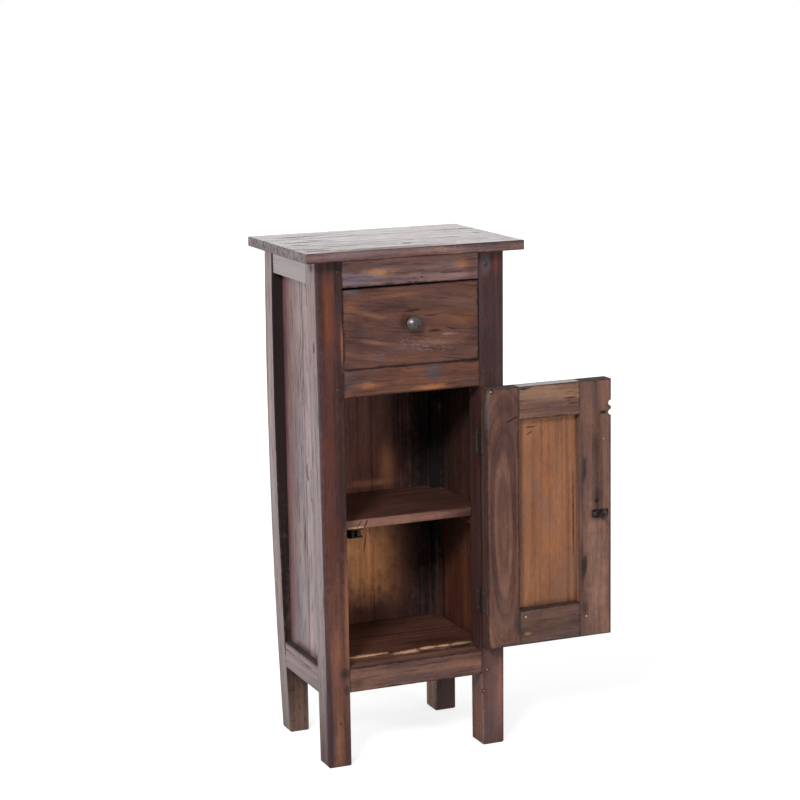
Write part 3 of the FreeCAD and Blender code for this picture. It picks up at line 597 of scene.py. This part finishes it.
# Drawer
# A planed front with the grain across, rabbeted for two sides; the back and a thin bottom close the box.
# Only the front is stained, and its figure swirls round an eye beside the knob.
drawer_front_arris = 0.0010
drawer_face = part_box("drawer_front")[0].y
drawer_flecks = ((0.000, drawer_face, 0.646), (0.085, 0.01, 0.020))
wood(
    "drawer_front", drawer_front_arris, "x", ((58, 38, 36), (92, 59, 51), (118, 80, 66)), 33,
    pith=(-0.004, 0.02), tilt=(0.6, 2.0), bow=2.0, slant=-7, ring=0.013, figure=0.36, streaks=0.28,
    dashes=0.4, flecks=drawer_flecks, warm=((116, 74, 54), 0.4), cool=((76, 58, 60), 0.35), grime=0.8,
    marks=[
        mark((-0.097, drawer_face, 0.734), (0.014, 0.01, 0.005), (92, 86, 92), 0.8),
        mark((-0.084, drawer_face, 0.672), (0.016, 0.01, 0.006), (76, 66, 70), 0.5),
        mark((-0.049, drawer_face, 0.633), (0.014, 0.01, 0.006), (84, 74, 80), 0.6),
        mark((0.084, drawer_face, 0.712), (0.022, 0.01, 0.014), (104, 76, 68), 0.6),
        mark((-0.096, drawer_face, 0.713), (0.014, 0.01, 0.010), (122, 76, 52), 0.5),
        mark((-0.050, drawer_face, 0.672), (0.024, 0.01, 0.009), (118, 74, 50), 0.5),
        mark((0.086, drawer_face, 0.684), (0.022, 0.01, 0.010), (134, 84, 52), 0.6),
        mark((0.002, drawer_face, 0.701), (0.019, 0.01, 0.0022), (54, 33, 28), 0.9, 0.6, (0, 2, 0)),
        mark((0.032, drawer_face, 0.692), (0.016, 0.01, 0.0016), (58, 37, 31), 0.8, 0.5),
        mark((0.038, drawer_face, 0.668), (0.017, 0.01, 0.0024), (52, 32, 28), 0.9, 0.6),
        mark((0.064, drawer_face, 0.670), (0.014, 0.01, 0.0018), (56, 36, 31), 0.8, 0.5, (0, -14, 0)),
        mark((-0.006, drawer_face, 0.644), (0.036, 0.01, 0.006), (104, 84, 88), 0.6),
        mark((-0.070, drawer_face, 0.700), (0.030, 0.01, 0.004), (150, 104, 76), 0.5, 0.0, (0, -14, 0)),
        mark((-0.060, drawer_face, 0.656), (0.040, 0.01, 0.004), (146, 102, 78), 0.5, 0.0, (0, -12, 0)),
        mark((0.040, drawer_face, 0.650), (0.045, 0.01, 0.004), (140, 98, 80), 0.5, 0.0, (0, -6, 0)),
        mark((-0.020, drawer_face, 0.726), (0.050, 0.01, 0.003), (136, 92, 70), 0.5, 0.0, (0, 3, 0)),
        mark((0.060, drawer_face, 0.661), (0.014, 0.01, 0.003), (150, 122, 110), 0.6),
    ])
drawer_box = {
    "drawer_side_left": "y",
    "drawer_side_right": "y",
    "drawer_back": "x",
    "drawer_bottom": "x",
}
for seed, (node, along) in enumerate(drawer_box.items(), 34):
    wood(node, sawn_arris, along, bare_tones, seed, polish=0.6)


# Drawer knob
# A small turned metal knob with a low dome, dark as old pewter, held by one screw from the inside.
# Hands keep the head bright, and the neck behind it is nearly black: tarnish, with painted shade under the
# head.
tarnish_and_shade_half = 0.001
pit_depth = 0.0002


def metal(name, darker, lighter, metallic, polish, patch, head=None):
    """Bare or blackened metal with stained patches, fine pits and uneven gloss. A knob is bright only on
    its head: from a plane along Y, to one side of it. Behind the head it is nearly black, tarnish with
    painted shade."""
    finish = Finish(name)
    patches = finish.noise(finish.place, patch, 4.0, 0.6)["Fac"]
    pits = finish.noise(finish.place, patch * 6, 2.0)["Fac"]
    colour = finish.ramp(patches, [(0.35, tint(*darker)), (0.65, tint(*lighter))])
    if head:
        plane, side = head
        depth = finish.put("ShaderNodeSeparateXYZ", {"Vector": finish.place}).outputs[1]
        # tarnish and painted shade: nearly black behind the knob's head
        tarnish_and_shade = finish.fade(depth, plane + side * tarnish_and_shade_half, plane - side * tarnish_and_shade_half)
        colour = finish.mix(tarnish_and_shade, colour, tint(*dark))
    roughness = finish.math("MULTIPLY_ADD", patches, 0.25, polish - 0.12)
    return finish.surface(colour, roughness, pits, pit_depth, metallic=metallic)


head_depth = 0.0075
knob_rounding = 0.0016
screw_rounding = 0.0003


def pewter(knob, front, side):
    """Old pewter for a knob whose head ends at the plane front and points to that side."""
    head = (front - side * head_depth, side)
    return metal(knob + "_pewter", (112, 105, 105), (158, 150, 149), 0.8, 0.36, 160.0, head)


steel = metal("dull_steel", (96, 91, 87), (158, 152, 146), 0.7, 0.38, 300.0)
iron = metal("black_iron", (24, 21, 21), (66, 58, 55), 0.35, 0.42, 260.0)
dress("drawer_knob", pewter("drawer_knob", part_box("drawer_knob")[0].y, -1), knob_rounding)
dress("drawer_knob_screw", steel, screw_rounding)


# Door
# Two upright stiles, two rails tenoned between them, and a loose panel that stands back in their grooves.
# The inner side, which the open door shows, is paler than the rest; the outer side is stained dark.
stile_arris = 0.0011
door_rail_arris = 0.0009
door_panel_arris = 0.0006
door_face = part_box("door_hinge_stile")[0].y
panel_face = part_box("door_panel")[0].y
hinge_edge, left_joint = (corner.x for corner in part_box("door_hinge_stile"))
right_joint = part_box("door_lock_stile")[0].x
panel_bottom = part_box("door_bottom_rail")[1].z
panel_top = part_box("door_top_rail")[0].z
door_middle = (left_joint + right_joint) / 2
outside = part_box("door_hinge_stile")[1].y
panel_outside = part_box("door_panel")[1].y
mid_height = 0.37
frame_stain = mark((door_middle, outside, mid_height), (0.60, 0.006, 1.00), (66, 42, 38), 0.6)
panel_stain = mark((door_middle, panel_outside, mid_height), (0.60, 0.004, 1.00), (62, 36, 30), 0.6)
wood(
    "door_hinge_stile", stile_arris, "z", ((66, 43, 39), (101, 67, 56), (132, 96, 76)), 38,
    pith=(0.003, 0.02), tilt=(0.1, 0.5), bow=0.62, ring=0.009, figure=0.85, streaks=0.20, dashes=0.25,
    warm=((120, 80, 60), 0.4), cool=((84, 62, 60), 0.35), grime=0.7, marks=[
        frame_stain,
        mark((hinge_edge, door_face + 0.010, 0.370), (0.002, 0.012, 0.400), (60, 40, 36), 0.8),
        mark((0.113, door_face, 0.540), (0.006, 0.008, 0.032), (84, 80, 86), 0.8),
        mark((0.119, door_face, 0.570), (0.0048, 0.008, 0.0048), dark, 0.95),
        mark((0.152, door_face, 0.523), (0.015, 0.01, 0.0016), dark, 0.9, 0.8, (0, 24, 0)),
        mark((0.145, door_face, 0.545), (0.018, 0.01, 0.020), (84, 56, 50), 0.6),
        mark((0.163, door_face, 0.197), (0.007, 0.01, 0.018), (58, 48, 48), 0.85),
        mark((0.138, door_face, 0.215), (0.020, 0.01, 0.055), (130, 98, 86), 0.6),
        mark((0.150, door_face, 0.166), (0.022, 0.01, 0.004), (70, 54, 54), 0.8),
    ])
wood(
    "door_lock_stile", stile_arris, "z", ((70, 47, 42), (112, 79, 67), (140, 103, 84)), 39,
    pith=(0.02, 0.04), tilt=(0.3, 1.0), dashes=0.3, warm=((130, 88, 66), 0.45),
    cool=((94, 74, 74), 0.35), wax=0.6, grime=0.7, marks=[
        frame_stain,
        mark((0.298, door_face, 0.265), (0.018, 0.01, 0.130), (188, 142, 118), 0.6),
        mark((0.2775, door_face, 0.430), (0.005, 0.01, 0.024), (40, 30, 30), 0.8, 0.5),
        mark((0.2785, door_face, 0.281), (0.006, 0.01, 0.026), (40, 30, 30), 0.8, 0.5),
        mark((0.280, door_face, 0.210), (0.006, 0.01, 0.016), (56, 42, 42), 0.6),
        # painted light: a pale strip on the stile's inner edge by the panel, where shade falls
        mark((right_joint, panel_face, 0.370), (0.003, 0.03, 0.300), (160, 116, 92), 0.6),
        mark((0.312, door_face, 0.522), (0.008, 0.01, 0.004), dark, 0.9, 0.6),
        mark((0.321, door_face, 0.529), (0.006, 0.02, 0.016), (60, 44, 42), 0.7),
        mark((0.301, door_face, 0.386), (0.010, 0.01, 0.022), (58, 42, 40), 0.8),
        mark((0.303, door_face, 0.360), (0.018, 0.01, 0.012), (52, 40, 38), 0.7),
        mark((0.2745, door_face, 0.420), (0.004, 0.01, 0.080), (74, 62, 64), 0.8),
        mark((0.2745, door_face, 0.280), (0.004, 0.01, 0.060), (62, 50, 52), 0.8),
        mark((0.300, door_face, 0.200), (0.012, 0.01, 0.020), (136, 108, 92), 0.5),
    ])
between_stiles = {"x": (left_joint, right_joint)}
wood(
    "door_top_rail", door_rail_arris, "x", ((70, 48, 42), (116, 83, 70), (148, 112, 86)), 40,
    tilt=(1.4, 2.2), seen=between_stiles, warm=((140, 98, 66), 0.5), cool=((98, 80, 76), 0.4), wax=0.8,
    grime=0.7, marks=[
        frame_stain,
        mark((0.254, door_face, 0.550), (0.016, 0.01, 0.0016), (56, 36, 32), 0.9, 0.6),
        mark((0.258, door_face, 0.541), (0.014, 0.01, 0.0014), (58, 38, 34), 0.9, 0.6),
        mark((0.174, door_face, 0.570), (0.010, 0.01, 0.002), dark, 0.9, 0.6),
    ])
wood(
    "door_bottom_rail", door_rail_arris, "x", ((58, 42, 41), (88, 63, 58), (116, 86, 74)), 41,
    tilt=(1.4, 2.2), seen=between_stiles, warm=((122, 90, 66), 0.4), cool=((80, 68, 70), 0.4),
    grime=0.7, marks=[
        frame_stain,
        mark((0.179, door_face, 0.181), (0.006, 0.01, 0.003), (168, 128, 78), 0.8),
    ])
in_frame = {"x": (left_joint, right_joint), "z": (panel_bottom, panel_top)}
wood(
    "door_panel", door_panel_arris, "z", ((102, 67, 50), (141, 93, 66), (170, 118, 82)), 42,
    pith=(0.05, 0.09), tilt=(0.3, 0.6), ring=0.005, figure=0.45, streaks=0.26, wander=0.25, dashes=0.08,
    seen=in_frame, warm=((166, 102, 58), 0.5), cool=((120, 90, 78), 0.5), grime=0.5, marks=[
        panel_stain,
        mark((0.191, panel_face, 0.507), (0.012, 0.01, 0.0016), (70, 46, 36), 0.8, 0.5),
        mark((0.189, panel_face, 0.497), (0.008, 0.01, 0.0014), (62, 40, 32), 0.8, 0.5, (0, 30, 0)),
        mark((0.172, panel_face, 0.380), (0.006, 0.01, 0.150), (104, 76, 62), 0.7),
        mark((0.2655, panel_face, 0.370), (0.0016, 0.01, 0.110), (58, 42, 38), 0.85, 0.5),
        mark((0.2695, panel_face, 0.370), (0.0020, 0.01, 0.150), (170, 124, 98), 0.7),
        mark((0.220, panel_face, 0.222), (0.050, 0.01, 0.006), (96, 66, 50), 0.6),
    ])
dress("door_knob", pewter("door_knob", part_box("door_knob")[1].y, 1), knob_rounding)
dress("door_knob_screw", iron, screw_rounding)


# Hinges
# Two plain butt hinges of iron, with their leaves let in flush and loose pins through the knuckles.
# The stain was brushed over the leaves together with the wood; only the knuckles stayed black.
leaf_rounding = 0.0003
brush_depth = 0.0002
low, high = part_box("hinge_pins")
hinge_axis = (low + high) / 2
low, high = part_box("hinge_upper_post_leaf")
knuckle_radius = (high.x - low.x) / 2
brushed = Finish("stained_hinge")
from_axis = brushed.vector("MULTIPLY", brushed.vector("SUBTRACT", brushed.place, hinge_axis), (1, 1, 0))
on_leaf = brushed.fade(brushed.vector("LENGTH", from_axis), knuckle_radius, knuckle_radius * 1.25)
strokes = brushed.noise(brushed.drawn_out(brushed.place, 0.1), 260.0, 3.0, 0.6)["Fac"]
stain = brushed.ramp(strokes, [(0.35, tint(40, 27, 26)), (0.65, tint(84, 58, 51))])
blackened = brushed.ramp(strokes, [(0.35, tint(10, 8, 9)), (0.65, tint(24, 20, 20))])
roughness = brushed.math("MULTIPLY_ADD", strokes, 0.2, 0.75)
stained_iron = brushed.surface(brushed.mix(on_leaf, blackened, stain), roughness, strokes, brush_depth)
for level in ("upper", "lower"):
    dress("hinge_" + level + "_post_leaf", stained_iron, leaf_rounding)
    dress("hinge_" + level + "_door_leaf", stained_iron, leaf_rounding)
dress("hinge_pins", iron, leaf_rounding)


# Catch
# A double roller catch of blackened steel under the shelf: a folded housing, two sprung arms, two rollers.
# Its spear is riveted to a plate on the lock stile.
sheet_rounding = 0.0002
roller_rounding = 0.0004
for node in ("catch_housing", "catch_arm_left", "catch_arm_right"):
    dress(node, iron, sheet_rounding)
worn_iron = metal("worn_iron", (30, 22, 21), (92, 78, 72), 0.4, 0.45, 150.0)
dress("strike_spear", worn_iron, sheet_rounding)
for node in ("catch_roller_left", "catch_roller_right"):
    dress(node, iron, roller_rounding)


# Pegs and nails
# Whittled pegs pin the tenons of the front rails, and a few round nails were added in old repairs.
# The peg ends are end grain, a little proud of the posts; the nails are iron, and most are rubbed bright,
# with a glint painted into their pale colour.
def close_up(shape, rows):
    """Joins rows of vertices, each a ring, to a closed form."""
    for lower, upper in zip(rows, rows[1:]):
        for step in range(len(lower)):
            after = (step + 1) % len(lower)
            shape.faces.new((lower[step], lower[after], upper[after], upper[step]))
    shape.faces.new(reversed(rows[0]))
    shape.faces.new(rows[-1])


def round_head(shape, centre, outward, profile, sides=18, whittled=0.0):
    """Adds a round head: profile gives its radius and its rise from the surface, from the rim inwards.
    A whittled head is out of round by that share of its radius."""
    turn = Vector(outward).to_track_quat("Z", "Y").to_matrix()
    rows = []
    for radius, rise in profile:
        row = []
        for step in range(sides):
            angle = 2 * math.pi * step / sides
            reach = radius * (1 + whittled * math.sin(3 * angle + centre[2] * 100))
            spot = Vector((reach * math.cos(angle), reach * math.sin(angle), rise))
            row.append(shape.verts.new(Vector(centre) + turn @ spot))
        rows.append(row)
    close_up(shape, rows)


sharp_angle = math.radians(40)


def fasten(name, shape, finish, body):
    """Makes a finished piece of the shape and lets it ride on its body."""
    mesh = bpy.data.meshes.new(name)
    shape.to_mesh(mesh)
    shape.free()
    mesh.shade_smooth()
    mesh.set_sharp_from_angle(angle=sharp_angle)
    mesh.materials.append(finish)
    piece = bpy.data.objects.new(name, mesh)
    bpy.context.scene.collection.objects.link(piece)
    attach(piece, body)


vessel_depth = 0.0003
peg_end = Finish("peg_end_grain")
vessels = peg_end.noise(peg_end.place, 900.0, 3.0, 0.6)["Fac"]
blotch = peg_end.noise(peg_end.place, 160.0, 3.0)["Fac"]
colour = peg_end.mix(peg_end.fade(blotch, 0.40, 0.62), tint(48, 34, 34), tint(104, 78, 70))
colour = peg_end.mix(peg_end.fade(vessels, 0.52, 0.62), colour, tint(*dark))
roughness = peg_end.math("MULTIPLY_ADD", blotch, 0.3, 0.4)
peg_finish = peg_end.surface(colour, roughness, vessels, vessel_depth)
peg_profile = [(1.0, -0.15), (1.0, 0.03), (0.86, 0.10), (0.45, 0.13), (0.12, 0.13)]
shape = bmesh.new()
for x, z in peg_places:
    sized = [(radius * peg_radius, rise * peg_radius) for radius, rise in peg_profile]
    round_head(shape, (x, front_face, z), (0, -1, 0), sized, whittled=0.07)
fasten("rail_pegs", shape, peg_finish, "cabinet")

nail_profile = [(1.0, -0.4), (1.0, 0.05), (0.85, 0.22), (0.45, 0.34), (0.15, 0.36)]
post_nail_radius = 0.0011
old_nails = [
    (0.0012, (0.005, front_face, 0.750)),
    (0.0012, (0.018, front_face, 0.7507)),
    (0.0016, (-0.1276, front_face, 0.0694)),
]
rubbed_and_glint_nails = [
    (0.0012, (0.119, door_face, 0.570)),
    (0.0016, (0.176, door_face, 0.2077)),
    (0.0016, (0.282, door_face, 0.196)),
    (0.0010, (0.312, door_face, 0.4797)),
]
post_nails = [(post_nail_radius, (x, front_face, z)) for x, z in post_nail_places]
# painted glint: steel painted near white, so rubbed nail heads shine under any light
glint_and_bright_steel = metal("glint_and_bright_steel", (150, 142, 134), (222, 212, 200), 0.3, 0.45, 300.0)
for name, nails, finish, body, slot in (
        ("frame_nails", old_nails, iron, "cabinet", "black_iron"),
        ("post_nails", post_nails, glint_and_bright_steel, "cabinet", "steel"),
        ("door_nails", rubbed_and_glint_nails, glint_and_bright_steel, "door", "steel")):
    shape = bmesh.new()
    for radius, spot in nails:
        sized = [(share * radius, rise * radius) for share, rise in nail_profile]
        round_head(shape, spot, (0, -1, 0), sized)
    fasten(name, shape, finish, body)


# Screws
# Slotted wood screws, two in each hinge leaf, two in the housing of the catch and two in its strike.
# Steel heads are sunk in the leaves and raised on the strike; those of the catch are black as it is.
head_root = 0.0003
slot_share = 0.17


def slotted_head(shape, centre, outward, radius, rise, slot_turn):
    """Adds the two halves of a screw head, on either side of its slot. Its root is below the surface."""
    turn = Vector(outward).to_track_quat("Z", "Y").to_matrix() @ Matrix.Rotation(slot_turn, 3, "Z")
    slot_half = radius * slot_share
    steps = 12
    for side in (1, -1):
        rows = []
        for share, height in ((1.0, -head_root), (1.0, rise * 0.35), (0.88, rise * 0.8), (0.60, rise)):
            start = math.asin(slot_half / (radius * share))
            row = []
            for step in range(steps + 1):
                angle = start + (math.pi - 2 * start) * step / steps
                reach = radius * share * side
                spot = Vector((reach * math.cos(angle), reach * math.sin(angle), height))
                row.append(shape.verts.new(Vector(centre) + turn @ spot))
            rows.append(row)
        close_up(shape, rows)


leaf_gap_half = 0.0002
plate_thickness = 0.0012
leaf_screw_radius = 0.0026
leaf_screw_rise = 0.00012
leaf_screw_spread = 0.0135
small_screw_radius = 0.0023
small_screw_rise = 0.0009
strike_screw_spread = 0.0095
strike_screw_drop = 0.0065
catch_screw_spread = 0.0075
catch_screw_inset = 0.0060
for part, body in (("post", "cabinet"), ("door", "door")):
    shape = bmesh.new()
    for level in ("upper", "lower"):
        low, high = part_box("hinge_" + level + "_" + part + "_leaf")
        leaf_middle = (low + high) / 2
        away = 1 if part == "post" else -1
        leaf_y = hinge_axis.y + away * (knuckle_radius + (high.y - low.y - 2 * knuckle_radius) / 2)
        for end in (1, -1):
            spot = (hinge_axis.x + leaf_gap_half, leaf_y, leaf_middle.z + end * leaf_screw_spread)
            slot_turn = 0.6 * end + leaf_y * 9
            slotted_head(shape, spot, (-1, 0, 0), leaf_screw_radius, leaf_screw_rise, slot_turn)
    fasten("hinge_screws_" + part, shape, steel, body)

low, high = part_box("strike_spear")
strike_middle = (low + high) / 2
strike_face = high.y - plate_thickness
shape = bmesh.new()
for side in (1, -1):
    spot = (strike_middle.x + side * strike_screw_spread, strike_face, high.z - strike_screw_drop)
    slotted_head(shape, spot, (0, -1, 0), small_screw_radius, small_screw_rise, 0.5 + side)
fasten("strike_screws", shape, steel, "door")
low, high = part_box("catch_housing")
catch_middle = (low + high) / 2
shape = bmesh.new()
for side in (1, -1):
    x = catch_middle.x + side * catch_screw_spread
    spot = (x, high.y - catch_screw_inset, high.z - plate_thickness)
    slotted_head(shape, spot, (0, 0, -1), small_screw_radius, small_screw_rise, 0.3 * side)
fasten("catch_screws", shape, iron, "cabinet")


# Studio floor
# A pale sheet that runs out of sight: white where nothing shades it, with the soft shadow of the table.
# Gloss sees it white behind the table and unlit in front of it.
def gloss_sides(finish, where, blend):
    """What shows white, which is all to the camera and the part behind the table to gloss, and the part
    before the table that gloss sees dark. They blend over that distance on either side."""
    rays = finish.put("ShaderNodeLightPath", {}).outputs
    mirrored = finish.math("MAXIMUM", rays["Is Glossy Ray"], rays["Is Transmission Ray"])
    depth = finish.put("ShaderNodeSeparateXYZ", {"Vector": where}).outputs[1]
    behind = finish.fade(depth, -blend, blend)
    white = finish.math("MAXIMUM", rays["Is Camera Ray"], finish.times(mirrored, behind))
    return white, finish.times(mirrored, finish.math("SUBTRACT", 1.0, behind))


floor_size = 9.0
floor_drop = 0.0005
floor_grey = (0.58, 0.58, 0.58, 1)
unlit_grey = (0.08, 0.08, 0.08, 1)
near_white = 0.75
mesh = bpy.data.meshes.new("studio_floor")
shape = bmesh.new()
bmesh.ops.create_grid(shape, x_segments=2, y_segments=2, size=floor_size)
shape.to_mesh(mesh)
shape.free()
floor = bpy.data.objects.new("studio_floor", mesh)
bpy.context.scene.collection.objects.link(floor)
floor.location.z = -floor_drop
pale = Finish("pale_floor")
shown, dark_side = gloss_sides(pale, pale.place, 0.5)
distance = pale.vector("LENGTH", pale.place)
far = pale.fade(distance, 0.8, 2.2)
glow = pale.times(shown, pale.math("MULTIPLY_ADD", far, 1.0 - near_white, near_white))
emission = pale.put("ShaderNodeEmission", {"Color": (1, 1, 1, 1), "Strength": glow})
diffuse = pale.put("ShaderNodeBsdfDiffuse", {"Color": floor_grey})
both = pale.put("ShaderNodeAddShader", {0: emission.outputs[0], 1: diffuse.outputs[0]})
unlit = pale.put("ShaderNodeBsdfDiffuse", {"Color": unlit_grey})
sheet = pale.put("ShaderNodeMixShader", {0: dark_side, 1: both.outputs[0], 2: unlit.outputs[0]})
pale.put("ShaderNodeOutputMaterial", {"Surface": sheet.outputs[0]})
mesh.materials.append(pale.material)


# Studio light
# A white room all round, a key lamp high in front on the left, a low wide one on the right, and a fill
# on the left. Gloss sees the room white behind the table and dim in front of it.
room_light = 0.35
dimmed_share = 0.6
world = bpy.data.worlds.new("white_room")
bpy.context.scene.world = world
world.use_nodes = True
room = Finish("white_room", world.node_tree)
direction = room.put("ShaderNodeTexCoord", {}).outputs["Generated"]
shown, dark_side = gloss_sides(room, direction, 0.3)
strength = room.math("MULTIPLY_ADD", shown, 1.0 - room_light, room_light)
strength = room.math("MULTIPLY_ADD", dark_side, -room_light * dimmed_share, strength)
background = room.put("ShaderNodeBackground", {"Color": (1, 1, 1, 1), "Strength": strength})
room.put("ShaderNodeOutputWorld", {"Surface": background.outputs[0]})


def soft_lamp(name, spot, aim, size, power, mirrored=True):
    """A square soft lamp that points at a place, and shows in gloss or not."""
    data = bpy.data.lights.new(name, "AREA")
    data.size = size
    data.energy = power
    lamp = bpy.data.objects.new(name, data)
    bpy.context.scene.collection.objects.link(lamp)
    lamp.location = spot
    lamp.visible_glossy = mirrored
    lamp.rotation_euler = (Vector(aim) - Vector(spot)).to_track_quat("-Z", "Y").to_euler()


table_middle = (0.05, 0.0, 0.40)
soft_lamp("key_lamp", (-2.0, -2.5, 2.4), table_middle, 0.7, 74.0)
soft_lamp("right_lamp", (1.3, -2.7, 0.75), table_middle, 1.2, 28.0, mirrored=False)
soft_lamp("left_lamp", (-2.6, -0.2, 1.5), table_middle, 1.2, 22.0, mirrored=False)


# Camera
# It stands to the left of the table's front and above it, as the photograph was taken.
camera_place = Vector((-1.3426, -3.3007, 1.2182))
yaw = math.radians(22.513)
pitch = math.radians(10.701)
roll = math.radians(0.923)
focal_pixels = 2323.9
image_pixels = 800
sensor = 36.0
far_clip = 50.0
forward = Vector((math.sin(yaw) * math.cos(pitch), math.cos(yaw) * math.cos(pitch), -math.sin(pitch)))
level_right = Vector((math.cos(yaw), -math.sin(yaw), 0))
level_down = forward.cross(level_right)
right = level_right * math.cos(roll) + level_down * math.sin(roll)
down = level_down * math.cos(roll) - level_right * math.sin(roll)
lens = bpy.data.cameras.new("camera")
lens.sensor_width = sensor
lens.lens = focal_pixels * sensor / image_pixels
lens.clip_end = far_clip
camera = bpy.data.objects.new("camera", lens)
bpy.context.scene.collection.objects.link(camera)
axes = Matrix((right, -down, -forward)).transposed()
camera.matrix_world = Matrix.Translation(camera_place) @ axes.to_4x4()
bpy.context.scene.camera = camera
bpy.context.scene.view_settings.view_transform = "Standard"
